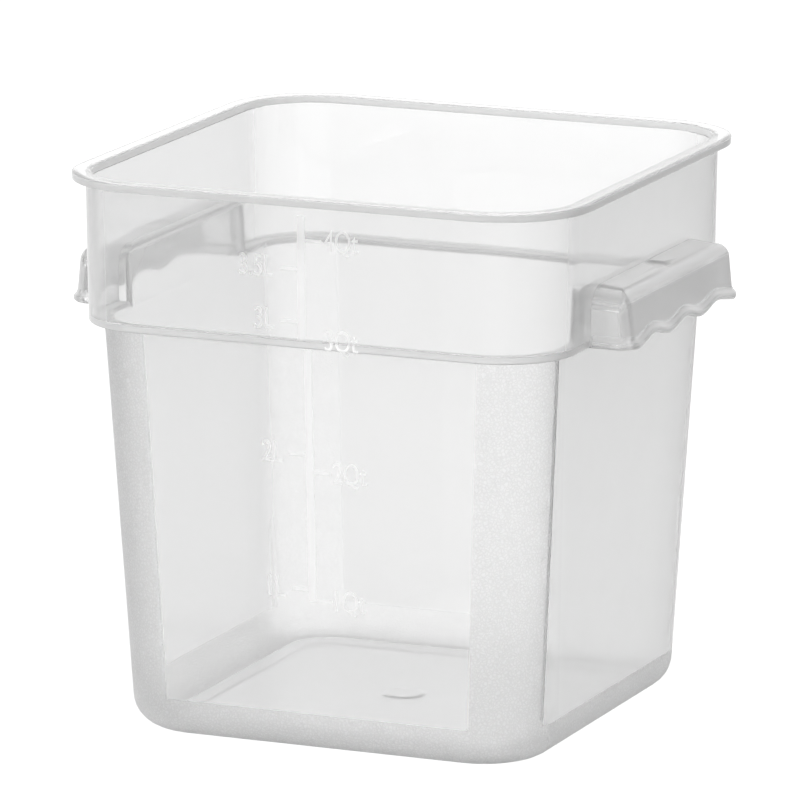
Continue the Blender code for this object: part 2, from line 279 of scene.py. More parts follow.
def ring(half, radius, z, spreads):
    """A rounded square of points, to the left from where the window on the +X side starts."""
    centre = half - radius
    points = []
    for quarter in range(4):
        turn = quarter * math.pi / 2
        out = Vector((round(math.cos(turn)), round(math.sin(turn)), 0))
        along = Vector((-out.y, out.x, 0))
        own = spreads[quarter % 2]
        following = spreads[(quarter + 1) % 2]
        level = Vector((0, 0, z))

        def on_arc(angle, side):
            way = math.cos(angle) * out + math.sin(angle) * along
            return level + centre * (out + side * along) + radius * way

        for step in range(EDGE_STEPS):
            points.append(on_arc(own * (step / EDGE_STEPS - 1), -1))
        for place in flat_places():
            points.append(level + half * out + centre * place * along)
        for step in range(EDGE_STEPS):
            points.append(on_arc(own * step / EDGE_STEPS, 1))
        for step in range(POST_STEPS):
            points.append(on_arc(between(own, math.pi / 2 - following, step / POST_STEPS), 1))
    return points


def bend_of(station):
    """1 on a rounded corner, 0 on a flat wall."""
    place = station % stations_per_quarter
    flat_start = EDGE_STEPS
    flat_end = EDGE_STEPS + FLAT_STEPS
    if flat_start <= place <= flat_end:
        return 0.0
    into = min(abs(place - flat_end), abs(place + stations_per_quarter - flat_end))
    back = min(abs(flat_start - place), abs(flat_start + stations_per_quarter - place))
    return limited(min(into, back) / (2 * EDGE_STEPS))


class Level:
    """One ring of a shell: its size, how rounded and how solid the wall looks there, and whether the strip
    of faces that leaves it is a moulded-through joint or the smooth floor."""

    def __init__(self, half, radius, z, bend=0.0, joint=False, solid=0.0, smooth=False):
        self.half = half
        self.radius = radius
        self.z = z
        self.bend = bend
        self.solid = solid
        self.look = WALL_LOOK
        if joint:
            self.look = JOINT_LOOK
        if smooth:
            self.look = FLOOR_LOOK
        self.spreads = window_spreads(min(max(z, pan_z), shoulder_z))

    def points(self):
        return ring(self.half, self.radius, self.z, self.spreads)


def new_object(name, mesh_data, looks):
    """An object of the mesh data, smooth up to the crease angle, with its materials."""
    mesh = bpy.data.meshes.new(name)
    mesh_data.to_mesh(mesh)
    mesh_data.free()
    for look in looks:
        mesh.materials.append(look)
    mesh.shade_smooth()
    mesh.set_sharp_from_angle(angle=CREASE_ANGLE)
    made = bpy.data.objects.new(name, mesh)
    bpy.context.scene.collection.objects.link(made)
    return made


def shell(name, levels, looks, first=0, count=None, wrap=True):
    """A closed wall along the levels. It runs all round, or over count stations from first. Wrap joins the
    last level to the first, and otherwise both get a cap."""
    mesh_data = bmesh.new()
    bends = mesh_data.verts.layers.float.new("bend")
    solids = mesh_data.verts.layers.float.new("solid")
    whole = 4 * stations_per_quarter
    all_round = count is None
    stations = [(first + step) % whole for step in range(whole if all_round else count + 1)]
    rows = []
    for level in levels:
        points = level.points()
        row = []
        for station in stations:
            vert = mesh_data.verts.new(points[station])
            vert[bends] = max(bend_of(station), level.bend)
            vert[solids] = level.solid
            row.append(vert)
        rows.append(row)
    strips = list(zip(levels, rows, rows[1:]))
    if wrap:
        strips.append((levels[-1], rows[-1], rows[0]))
    for level, lower, upper in strips:
        columns = list(zip(lower, lower[1:], upper[1:], upper))
        if all_round:
            columns.append((lower[-1], lower[0], upper[0], upper[-1]))
        for column in columns:
            face = mesh_data.faces.new(column)
            face.material_index = level.look
    if not wrap:
        for cap in (tuple(reversed(rows[0])), tuple(rows[-1])):
            mesh_data.faces.new(cap).material_index = levels[-1].look
    if not all_round:
        close_ends(mesh_data, rows)
    bmesh.ops.recalc_face_normals(mesh_data, faces=mesh_data.faces)
    return new_object(name, mesh_data, looks)


def close_ends(mesh_data, rows):
    """Closes both ends of a wall that doesn't run all round, with faces from its outside to its inside."""
    middle = len(rows) // 2
    for column in (0, -1):
        for low, high in zip(range(middle), reversed(range(middle, len(rows)))):
            if low + 1 > high - 1:
                continue
            edge = [rows[place][column] for place in (low, low + 1, high - 1, high)]
            if low + 1 == high - 1:
                edge.pop(2)
            mesh_data.faces.new(edge).material_index = JOINT_LOOK


def tub_levels():
    """The tub's wall between the pan and the shoulder, up the outside and down the inside."""
    outer = []
    inner = []
    for step in range(LEVEL_STEPS + 1):
        z = between(pan_z, shoulder_z, step / LEVEL_STEPS)
        half = tub_half_at(z)
        radius = tub_radius_at(z)
        outer.append(Level(half, radius, z, joint=step == LEVEL_STEPS))
        inner.append(Level(half - WALL, radius - WALL, z, joint=step == 0))
    return outer + inner[::-1]


def make_base_pan():
    """The floor on its foot ring, and the rounded edge that turns up into the walls."""
    levels = []

    def add(inset, z, **ways):
        levels.append(Level(tub_foot_half - inset, TUB_FOOT_CORNER_RADIUS - inset, z, **ways))

    foot_half = tub_foot_half - BASE_EDGE_RADIUS - FOOT_RING_WIDTH
    foot_radius = TUB_FOOT_CORNER_RADIUS - BASE_EDGE_RADIUS - FOOT_RING_WIDTH
    for inset in (FOOT_STEP + FLAT_MARGIN, FOOT_STEP):
        levels.append(Level(foot_half - inset, foot_radius - inset, FOOT_STEP, smooth=True))
    chamfer = FOOT_CHAMFER
    levels.append(Level(foot_half - chamfer, foot_radius - chamfer, chamfer, smooth=True))
    levels.append(Level(foot_half, foot_radius, 0, smooth=True))
    for step in range(FILLET_STEPS + 1):
        angle = math.pi / 2 * step / FILLET_STEPS
        inset = BASE_EDGE_RADIUS * (1 - math.sin(angle))
        z = BASE_EDGE_RADIUS * (1 - math.cos(angle))
        add(inset, z, bend=1, solid=PAN_SOLID * (1 - step / FILLET_STEPS))
    levels.append(Level(tub_half_at(pan_z), tub_radius_at(pan_z), pan_z, joint=True))
    levels.append(Level(tub_half_at(pan_z) - WALL, tub_radius_at(pan_z) - WALL, pan_z))
    inner_radius = BASE_EDGE_RADIUS - WALL
    for step in range(FILLET_STEPS + 1):
        angle = math.pi / 2 * (1 - step / FILLET_STEPS)
        inset = WALL + inner_radius * (1 - math.sin(angle))
        z = floor_top + inner_radius * (1 - math.cos(angle))
        add(inset, z, bend=1, solid=FLOOR_EDGE_SOLID * step / FILLET_STEPS)
    add(BASE_EDGE_RADIUS + FLAT_MARGIN, floor_top, smooth=True)
    for radius, rise in gate_rings():
        levels.append(Level(radius, GATE_ROUNDNESS * radius, floor_top + rise, smooth=True))
    looks = (grained_plastic, clear_joint, floor_plastic)
    return shell("base_pan_shell", levels, looks, wrap=False)


def gate_rings():
    """The gate mark's rings, as (radius, rise) pairs."""
    rings = [(GATE_RADIUS + FLAT_MARGIN, 0.0)]
    for step in range(FILLET_STEPS + 1):
        part = step / FILLET_STEPS
        rise = GATE_RISE * (1 - math.cos(math.pi * part)) / 2
        rings.append((GATE_RADIUS * (1 - GATE_SLOPE_SHARE * part), rise))
    rings.append((rings[-1][0] - FLAT_MARGIN, GATE_RISE))
    return rings


def make_walls():
    """The four polished windows and the four grained corner posts."""
    levels = tub_levels()
    made = []
    windows = ("right_window", "rear_window", "left_window", "front_window")
    posts = ("rear_right_post", "rear_left_post", "front_left_post", "front_right_post")
    polished = (polished_plastic, clear_joint)
    grained = (grained_plastic, clear_joint)
    for quarter, (window, post) in enumerate(zip(windows, posts)):
        first = quarter * stations_per_quarter
        wall = shell(window + "_wall", levels, polished, first, stations_per_window)
        made.append((wall, window, "polished_wall"))
        first += stations_per_window
        wall = shell(post + "_wall", levels, grained, first, POST_STEPS)
        made.append((wall, post, "grained_wall"))
    return made


def make_collar():
    """The upper walls and the shoulder under them, opened where the handles stand."""
    ledge = shoulder_z + WALL
    inset = tub_top_half - WALL
    edge = SHOULDER_EDGE_RADIUS
    levels = [Level(inset, TUB_TOP_CORNER_RADIUS - WALL, shoulder_z, joint=True)]
    levels.append(Level(tub_top_half, TUB_TOP_CORNER_RADIUS, shoulder_z))

    def add(half, z, bend, joint=False, solid=0.0):
        levels.append(Level(half, half - collar_corner_centre, z, bend=bend, joint=joint, solid=solid))

    for step in range(FILLET_STEPS + 1):
        angle = math.pi / 2 * step / FILLET_STEPS
        half = collar_foot_half - edge + edge * math.sin(angle)
        add(half, shoulder_z + edge - edge * math.cos(angle), 1, solid=SHOULDER_SOLID * math.sin(angle))
    for z, solid in ((ledge + LEDGE_FADE, SHOULDER_SOLID), (ledge + 2 * LEDGE_FADE, 0.0)):
        add(collar_half_at(z), z, 0, solid=solid)
    for step in range(1, LEVEL_STEPS + 1):
        z = between(ledge + 2 * LEDGE_FADE, rim_underside, step / LEVEL_STEPS)
        add(collar_half_at(z), z, 0, joint=step == LEVEL_STEPS)
    for step in range(LEVEL_STEPS + 1):
        z = between(rim_underside, ledge + edge + SUPPORT, step / LEVEL_STEPS)
        add(collar_half_at(z) - WALL, z, 0)
    for step in range(FILLET_STEPS + 1):
        angle = math.pi / 2 * step / FILLET_STEPS
        half = collar_foot_half - WALL - edge + edge * math.cos(angle)
        add(half, ledge + edge - edge * math.sin(angle), 1)
    for step in range(FILLET_STEPS + 1):
        angle = math.pi / 2 * step / FILLET_STEPS
        half = inset + LEDGE_EDGE_RADIUS - LEDGE_EDGE_RADIUS * math.sin(angle)
        z = ledge - LEDGE_EDGE_RADIUS + LEDGE_EDGE_RADIUS * math.cos(angle)
        corner = TUB_TOP_CORNER_RADIUS - WALL + half - inset
        levels.append(Level(half, corner, z, bend=1))
    made = shell("collar_wall", levels, (collar_plastic, clear_joint))
    for side in (1, -1):
        subtract(made, handle_arch(side))
    return made


def subtract(target, tool):
    """Cuts the tool out of the target, whose new faces wear the tool's material."""
    modifier = target.modifiers.new("Opening", "BOOLEAN")
    modifier.operation = "DIFFERENCE"
    modifier.solver = "EXACT"
    modifier.material_mode = "TRANSFER"
    modifier.object = tool
    settle(target)
    bpy.data.objects.remove(tool)


def settle(target):
    """Turns an object's evaluated shape into a plain mesh."""
    graph = bpy.context.evaluated_depsgraph_get()
    mesh = bpy.data.meshes.new_from_object(target.evaluated_get(graph))
    target.modifiers.clear()
    target.data = mesh
    mesh.shade_smooth()
    mesh.set_sharp_from_angle(angle=CREASE_ANGLE)


def handle_arch(side):
    """The handle's end profile, run through one side of the collar."""
    outline = [(-handle_half, shoulder_z - WALL)]
    for step in range(FILLET_STEPS * 2 + 1):
        angle = math.pi - math.pi / 2 * step / (FILLET_STEPS * 2)
        y = -handle_half + HANDLE_END_RADIUS * (1 + math.cos(angle))
        outline.append((y, handle_top - HANDLE_END_RADIUS * (1 - math.sin(angle))))
    outline += [(-y, z) for y, z in reversed(outline)]
    mesh_data = bmesh.new()
    rows = []
    for x in (handle_back - WALL, collar_top_half + WALL):
        rows.append([mesh_data.verts.new((side * x, y, z)) for y, z in outline])
    for here in range(len(outline)):
        after = (here + 1) % len(outline)
        mesh_data.faces.new((rows[0][here], rows[0][after], rows[1][after], rows[1][here]))
    mesh_data.faces.new(rows[0][::-1])
    mesh_data.faces.new(rows[1])
    bmesh.ops.recalc_face_normals(mesh_data, faces=mesh_data.faces)
    return new_object("handle_arch", mesh_data, (clear_joint,))


# Handles


def handle_plan(front_inset, end_inset, back_inset):
    """The handle's outline from above, drawn in on each side, as pairs of a place and its outward way. The
    handle stands on +X."""
    half = handle_half - end_inset
    front_radius = max(HANDLE_FRONT_CORNER_RADIUS - (front_inset + end_inset) / 2, SMALLEST_RADIUS)
    back_radius = max(HANDLE_BACK_CORNER_RADIUS - (back_inset + end_inset) / 2, SMALLEST_RADIUS)
    front = handle_foot_front - front_inset
    back = handle_back + back_inset
    corners = (
        (front - front_radius, half - front_radius, front_radius, 0),
        (back + back_radius, half - back_radius, back_radius, 90),
        (back + back_radius, back_radius - half, back_radius, 180),
        (front - front_radius, front_radius - half, front_radius, 270),
    )
    found = []
    for x, y, radius, start in corners:
        centre = Vector((x, y))
        for step in range(HANDLE_CORNER_STEPS + 1):
            angle = math.radians(start + 90 * step / HANDLE_CORNER_STEPS)
            way = Vector((math.cos(angle), math.sin(angle)))
            found.append((centre + radius * way, way))
        if start in (0, 180):
            side = 1 if y > 0 else -1
            stops = [between(lip_start, lip_full, step / LIP_STEPS) for step in range(LIP_STEPS + 1)]
            for stop in sorted(stops, reverse=side > 0):
                found.append((Vector((stop, side * half)), Vector((0.0, float(side)))))
    reach = half - front_radius
    count = max(2, round(2 * reach / GRIP_PITCH * GRIP_STEPS))
    for step in range(1, count):
        found.append((Vector((front, between(-reach, reach, step / count))), Vector((1.0, 0.0))))
    return found


def lip_share(place):
    """The lip runs along the skirt and each end, and dies out just before it reaches the collar."""
    along = limited(share(lip_start, lip_full, place.x))
    return along * along * (3 - 2 * along)


def grip_rise(place, way):
    """How far the handle's lower edge is cut up at one place, a wave of finger grips along the skirt."""
    wave = (1 + math.cos(math.tau * place.y / GRIP_PITCH)) / 2
    return GRIP_DEPTH * wave * max(0.0, way.x) ** 2


def skirt_lean(rise):
    """How far the skirt leans in over a rise."""
    return rise * math.tan(SKIRT_DRAFT)


def recess_lean(rise):
    """How far the recess wall leans out over a rise, in line with the tub's wall."""
    return rise * TUB_TAPER / (shoulder_z - BASE_EDGE_RADIUS)


def handle_edge(inset, with_lip):
    """The lower rings of one skin of a handle, which follow the finger grips."""
    full = LIP_HEIGHT + LIP_PROJECTION
    levels = [(0.0, 0.0, 0.0)]
    if with_lip:
        levels = []
        for step in range(1, FILLET_STEPS):
            angle = math.pi * step / FILLET_STEPS
            up = LIP_HEIGHT * (1 - math.cos(angle)) / 2
            levels.append((LIP_PROJECTION * math.sin(angle), up, full * (step - 1) / (FILLET_STEPS - 1)))
    rings = []
    for out, up, plain in levels + [(0.0, full, full)]:
        points = []
        plan = handle_plan(inset + skirt_lean(up), inset, inset + recess_lean(plain))
        for place, way in plan:
            lip = lip_share(place)
            moved = place + way * (out * lip)
            rise = between(plain, up, lip)
            points.append(Vector((moved.x, moved.y, shoulder_z + grip_rise(place, way) + rise)))
        rings.append(points)
    points = []
    above = full + SUPPORT
    for place, way in handle_plan(inset + skirt_lean(above), inset, inset + recess_lean(above)):
        points.append(Vector((place.x, place.y, shoulder_z + grip_rise(place, way) + above)))
    return rings + [points]


def handle_crown(inset, top, reduce):
    """The upper rings of one skin of a handle, which round its walls over into the top plate."""
    ridge = HANDLE_RIDGE_RADIUS - reduce
    end = HANDLE_END_RADIUS - reduce
    inner = max(HANDLE_INNER_RADIUS - reduce, SMALLEST_RADIUS)
    rise = top - shoulder_z
    rings = []
    turns = [(0.0, SUPPORT, 0.0)]
    turns += [(math.pi / 2 * step / FILLET_STEPS, 0.0, 0.0) for step in range(FILLET_STEPS + 1)]
    turns.append((math.pi / 2, 0.0, SUPPORT))
    for angle, below, inside in turns:
        drop = 1 - math.sin(angle)
        pull = 1 - math.cos(angle)
        front_lean = skirt_lean(rise - HANDLE_TOP_FALL - ridge * drop - below)
        back_lean = recess_lean(rise - inner * drop - below)
        front_inset = inset + front_lean + ridge * pull + inside
        back_inset = inset + back_lean + inner * pull + inside
        points = []
        for place, way in handle_plan(front_inset, inset + end * pull + inside, back_inset):
            radius = (ridge if way.x > 0 else inner) * way.x**2 + end * way.y**2
            points.append(Vector((place.x, place.y, top - radius * drop - below)))
        rings.append(points)
    return rings


def top_fall(x):
    """How far the top plate has fallen at x, beyond the collar."""
    return HANDLE_TOP_FALL * limited(share(collar_foot_half, handle_foot_front, x))


def make_handle(name, side):
    """One hollow side handle: recess wall, top plate, two ends and a waved skirt, open below."""
    outer = handle_edge(0.0, True) + handle_crown(0.0, handle_top, 0.0)
    inner = handle_edge(WALL, False) + handle_crown(WALL, handle_top - WALL, WALL)
    mesh_data = bmesh.new()
    rows = []
    for points in inner[::-1] + outer:
        rows.append([mesh_data.verts.new(point) for point in points])
    count = len(rows[0])
    for lower, upper in zip(rows, rows[1:]):
        for here in range(count):
            after = (here + 1) % count
            mesh_data.faces.new((lower[here], lower[after], upper[after], upper[here]))
    mesh_data.faces.new(rows[0][::-1])
    mesh_data.faces.new(rows[-1])
    bmesh.ops.recalc_face_normals(mesh_data, faces=mesh_data.faces)
    for x in (collar_foot_half - FALL_CREASE, collar_foot_half, collar_foot_half + FALL_CREASE):
        geometry = mesh_data.verts[:] + mesh_data.edges[:] + mesh_data.faces[:]
        bmesh.ops.bisect_plane(mesh_data, geom=geometry, plane_co=(x, 0, 0), plane_no=(1, 0, 0))
    for vert in mesh_data.verts:
        vert.co.z -= top_fall(vert.co.x) * limited(share(shoulder_z + GRIP_DEPTH, handle_top, vert.co.z))
    solids = mesh_data.verts.layers.float.new("solid")
    mesh_data.normal_update()
    for vert in mesh_data.verts:
        if side < 0:
            vert.co.x, vert.co.y = -vert.co.x, -vert.co.y
        vert[solids] = handle_solid(vert)
    for face in mesh_data.faces:
        corners = [abs(vert.co.x) for vert in face.verts]
        level = all(abs(vert.co.z - shoulder_z) < JOINT_REACH for vert in face.verts)
        if level and max(corners) < tub_top_half + JOINT_REACH:
            face.material_index = JOINT_LOOK
    made = new_object(name, mesh_data, (handle_plastic, clear_joint))
    subtract(made, dimple_cutter(side))
    return made


def handle_solid(vert):
    """How solid the handle looks at a point: least on the recess wall, most in the middle of a rounded
    edge."""
    ways = sorted(abs(part) for part in vert.normal)
    turn = ways[1] / ways[2]
    upright = abs(vert.normal.z) < UPRIGHT_LIMIT
    inside = abs(vert.co.x) < collar_foot_half
    if inside and upright and turn > UPRIGHT_LIMIT:
        return BACK_CORNER_SOLID
    if abs(vert.co.x) < handle_back + 2 * WALL and vert.co.z < handle_top - HANDLE_INNER_RADIUS:
        return RECESS_SOLID
    if inside and upright:
        return 0.0
    if upright:
        return UPRIGHT_SOLID * limited(share(*UPRIGHT_TURN, turn))
    return HANDLE_EDGE_SOLID * limited(share(*EDGE_TURN, turn))


def dimple_cutter(side):
    """A shallow round dish in the top plate, rounded at its edge."""
    x = side * (collar_foot_half + DIMPLE_PLACE)
    level = handle_top - top_fall(abs(x))
    lean = HANDLE_TOP_FALL / HANDLE_REACH
    mesh_data = bmesh.new()
    rows = []
    for out, up in DIMPLE_SECTION:
        row = []
        for step in range(DIMPLE_STEPS):
            angle = math.tau * step / DIMPLE_STEPS
            across = DIMPLE_RADIUS * out * math.cos(angle)
            along = DIMPLE_RADIUS * out * math.sin(angle)
            z = level + DIMPLE_DEPTH * up - side * across * lean
            row.append(mesh_data.verts.new((x + across, along, z)))
        rows.append(row)
    for lower, upper in zip(rows, rows[1:]):
        for here in range(DIMPLE_STEPS):
            after = (here + 1) % DIMPLE_STEPS
            mesh_data.faces.new((lower[here], lower[after], upper[after], upper[here]))
    mesh_data.faces.new(rows[0][::-1])
    mesh_data.faces.new(rows[-1])
    bmesh.ops.recalc_face_normals(mesh_data, faces=mesh_data.faces)
    return new_object("dimple_cutter", mesh_data, (handle_plastic,))


# Geometry Nodes for what follows a path or repeats


class Tree:
    """A short way to build a Geometry Nodes tree with named inputs."""

    def __init__(self, name, inputs):
        self.tree = bpy.data.node_groups.new(name, "GeometryNodeTree")
        self.sockets = {}
        for label, kind in inputs:
            socket = self.tree.interface.new_socket(label, in_out="INPUT", socket_type=kind)
            self.sockets[label] = socket.identifier
        self.tree.interface.new_socket("Geometry", in_out="OUTPUT", socket_type="NodeSocketGeometry")
        self.start = self.tree.nodes.new("NodeGroupInput")

    def node(self, kind, links=(), **settings):
        made = self.tree.nodes.new(kind)
        for key, value in settings.items():
            setattr(made, key, value)
        for socket, value in dict(links).items():
            if isinstance(value, bpy.types.NodeSocket):
                self.tree.links.new(value, made.inputs[socket])
            else:
                made.inputs[socket].default_value = value
        return made

    def input(self, label):
        return self.start.outputs[label]

    def math(self, operation, first, second=0.0):
        return self.node("ShaderNodeMath", {0: first, 1: second}, operation=operation).outputs[0]

    def move(self, geometry, place):
        links = {"Geometry": geometry, "Translation": place.outputs[0]}
        return self.node("GeometryNodeTransform", links).outputs[0]

    def end(self, geometry):
        real = self.node("GeometryNodeRealizeInstances", {0: geometry})
        links = {"Geometry": real.outputs[0], "Material": self.input("Material")}
        worn = self.node("GeometryNodeSetMaterial", links)
        out = self.tree.nodes.new("NodeGroupOutput")
        self.tree.links.new(worn.outputs[0], out.inputs[0])

    def run(self, name, values):
        """The tree's result as a plain mesh object with the given input values."""
        made = bpy.data.objects.new(name, bpy.data.meshes.new(name))
        bpy.context.scene.collection.objects.link(made)
        modifier = made.modifiers.new("Shape", "NODES")
        modifier.node_group = self.tree
        for label, value in values.items():
            modifier[self.sockets[label]] = value
        settle(made)
        return made


def swept_band_tree():
    """A closed band of rounded section along a rounded square, for the lid flange."""
    sizes = ("Half", "Corner", "Width", "Depth", "Edge", "Height")
    inputs = [(label, "NodeSocketFloat") for label in sizes]
    inputs += [(label, "NodeSocketInt") for label in ("Corner Steps", "Edge Steps")]
    inputs.append(("Material", "NodeSocketMaterial"))
    tree = Tree("swept_band", inputs)

    def rounded(width, depth, radius, steps):
        links = {"Width": width, "Height": depth}
        base = tree.node("GeometryNodeCurvePrimitiveQuadrilateral", links)
        links = {"Curve": base.outputs[0], "Radius": radius, "Count": steps}
        return tree.node("GeometryNodeFilletCurve", links, mode="POLY").outputs[0]

    size = tree.math("MULTIPLY", tree.input("Half"), 2.0)
    path = rounded(size, size, tree.input("Corner"), tree.input("Corner Steps"))
    section = rounded(*[tree.input(label) for label in ("Width", "Depth", "Edge", "Edge Steps")])
    swept = tree.node("GeometryNodeCurveToMesh", {"Curve": path, "Profile Curve": section})
    up = tree.node("ShaderNodeCombineXYZ", {"Z": tree.input("Height")})
    tree.end(tree.move(swept.outputs[0], up))
    return tree


def scale_mark_tree():
    """One mark of the volume scale: a tick beside the rib, and its numeral beyond the tick."""
    inputs = [("Label", "NodeSocketString"), ("Material", "NodeSocketMaterial")]
    sizes = ("Side", "Rib", "Tick Length", "Tick Height", "Label Size", "Label Width", "Gap", "Relief")
    inputs += [(label, "NodeSocketFloat") for label in sizes]
    tree = Tree("scale_mark", inputs)
    side = tree.input("Side")
    length = tree.input("Tick Length")
    relief = tree.input("Relief")
    size = tree.node("ShaderNodeCombineXYZ", {"X": length, "Y": tree.input("Tick Height"), "Z": relief})
    tick = tree.node("GeometryNodeMeshCube", {"Size": size.outputs[0]}).outputs[0]
    half_rib = tree.math("MULTIPLY", tree.input("Rib"), 0.5)
    middle = tree.math("ADD", half_rib, tree.math("MULTIPLY", length, 0.5))
    half_relief = tree.math("MULTIPLY", relief, 0.5)
    links = {"X": tree.math("MULTIPLY", side, middle), "Z": half_relief}
    tick = tree.move(tick, tree.node("ShaderNodeCombineXYZ", links))
    letters = tree.node(
        "GeometryNodeStringToCurves",
        {"String": tree.input("Label"), "Size": tree.input("Label Size")},
        align_x="CENTER",
        align_y="MIDDLE",
    )
    real = tree.node("GeometryNodeRealizeInstances", {0: letters.outputs[0]})
    filled = tree.node("GeometryNodeFillCurve", {"Curve": real.outputs[0]}, mode="NGONS")
    raised = tree.node(
        "GeometryNodeExtrudeMesh",
        {"Mesh": filled.outputs[0], "Offset Scale": relief, "Individual": False},
    )
    under = tree.node("GeometryNodeFlipFaces", {"Mesh": filled.outputs[0]})
    both = tree.node("GeometryNodeJoinGeometry")
    tree.tree.links.new(raised.outputs[0], both.inputs[0])
    tree.tree.links.new(under.outputs[0], both.inputs[0])
    links = {"Geometry": both.outputs[0], "Distance": MERGE_DISTANCE}
    sealed = tree.node("GeometryNodeMergeByDistance", links)
    narrow = tree.node("ShaderNodeCombineXYZ", {"X": tree.input("Label Width"), "Y": 1.0, "Z": 1.0})
    links = {"Geometry": sealed.outputs[0], "Scale": narrow.outputs[0]}
    slim = tree.node("GeometryNodeTransform", links).outputs[0]
    extent = tree.node("GeometryNodeBoundBox", {0: slim})
    low = tree.node("ShaderNodeSeparateXYZ", {0: extent.outputs["Min"]}).outputs["X"]
    high = tree.node("ShaderNodeSeparateXYZ", {0: extent.outputs["Max"]}).outputs["X"]
    label_half = tree.math("MULTIPLY", tree.math("SUBTRACT", high, low), 0.5)
    label_middle = tree.math("MULTIPLY", tree.math("ADD", high, low), 0.5)
    tick_end = tree.math("ADD", half_rib, length)
    beyond = tree.math("ADD", tick_end, tree.math("ADD", tree.input("Gap"), label_half))
    across = tree.math("SUBTRACT", tree.math("MULTIPLY", side, beyond), label_middle)
    label = tree.move(slim, tree.node("ShaderNodeCombineXYZ", {"X": across}))
    joined = tree.node("GeometryNodeJoinGeometry")
    for part in (tick, label):
        tree.tree.links.new(part, joined.inputs[0])
    tree.end(joined.outputs[0])
    return tree


def front_place(z, half_at, foot, top):
    """The turn and place that lay a mark on the middle of the front wall, which leans from foot to top."""
    lean = math.atan2(half_at(top) - half_at(foot), top - foot)
    turn = Matrix.Rotation(math.pi / 2 + lean, 4, "X")
    return Matrix.Translation((0.0, -half_at(z) + SCALE_SINK, z)) @ turn


def make_scale():
    """The raised volume scale on the front: a rib, and its ticks with their numerals."""
    tree = scale_mark_tree()
    mesh_data = bmesh.new()
    thickness = SCALE_RELIEF + SCALE_SINK
    on_collar = (collar_half_at, shoulder_z, height)
    on_tub = (tub_half_at, BASE_EDGE_RADIUS, shoulder_z)
    marks = [(label, z, -1.0, LITRE_LABEL_GAP) for label, z in LITRE_MARKS]
    marks += [(label, z, 1.0, QUART_LABEL_GAP) for label, z in QUART_MARKS]
    for label, z, side, gap in marks:
        values = {
            "Label": label,
            "Side": side,
            "Rib": SCALE_RIB_WIDTH,
            "Tick Length": SCALE_TICK_LENGTH,
            "Tick Height": SCALE_TICK_HEIGHT,
            "Label Size": LABEL_HEIGHT / CAPITAL_SHARE,
            "Label Width": LABEL_WIDTH_SHARE,
            "Gap": gap,
            "Relief": thickness,
            "Material": raised_plastic,
        }
        mark = tree.run("mark", values)
        mark.data.transform(front_place(z, *(on_collar if z > shoulder_z else on_tub)))
        mesh_data.from_mesh(mark.data)
        bpy.data.objects.remove(mark)
    ribs = ((shoulder_z + SCALE_RIB_WIDTH, height - SCALE_TOP_GAP, on_collar),)
    ribs += ((SCALE_FOOT, shoulder_z - SCALE_RIB_WIDTH / 2, on_tub),)
    for low, high, wall in ribs:
        made = bmesh.ops.create_cube(mesh_data, size=1.0)
        size = Matrix.Diagonal((SCALE_RIB_WIDTH, high - low, thickness, 1))
        lift = Matrix.Translation((0, 0, thickness / 2))
        place = front_place((low + high) / 2, *wall)
        bmesh.ops.transform(mesh_data, matrix=place @ lift @ size, verts=made["verts"])
    for face in mesh_data.faces:
        face.material_index = WALL_LOOK
    bmesh.ops.recalc_face_normals(mesh_data, faces=mesh_data.faces)
    return new_object("volume_scale", mesh_data, (raised_plastic,))


# Materials


class Look:
    """A short way to build a shader."""

    def __init__(self, name):
        self.material = bpy.data.materials.new(name)
        self.material.use_nodes = True
        self.tree = self.material.node_tree
        self.tree.nodes.clear()
        self.place = self.tree.nodes.new("ShaderNodeTexCoord").outputs["Object"]

    def node(self, kind, links=(), **settings):
        made = self.tree.nodes.new(kind)
        for key, value in settings.items():
            setattr(made, key, value)
        for socket, value in dict(links).items():
            if isinstance(value, bpy.types.NodeSocket):
                self.tree.links.new(value, made.inputs[socket])
            else:
                made.inputs[socket].default_value = value
        return made

    def math(self, operation, *values):
        links = dict(enumerate(values))
        return self.node("ShaderNodeMath", links, operation=operation).outputs[0]

    def noise(self, scale, detail, output="Fac"):
        made = self.node("ShaderNodeTexNoise", {"Vector": self.place, "Scale": scale, "Detail": detail})
        return made.outputs[output]

    def ramp(self, value, low, high):
        """Value from 0..1 spread over low..high."""
        made = self.node("ShaderNodeMapRange", {"Value": value, "To Min": low, "To Max": high})
        return made.outputs["Result"]


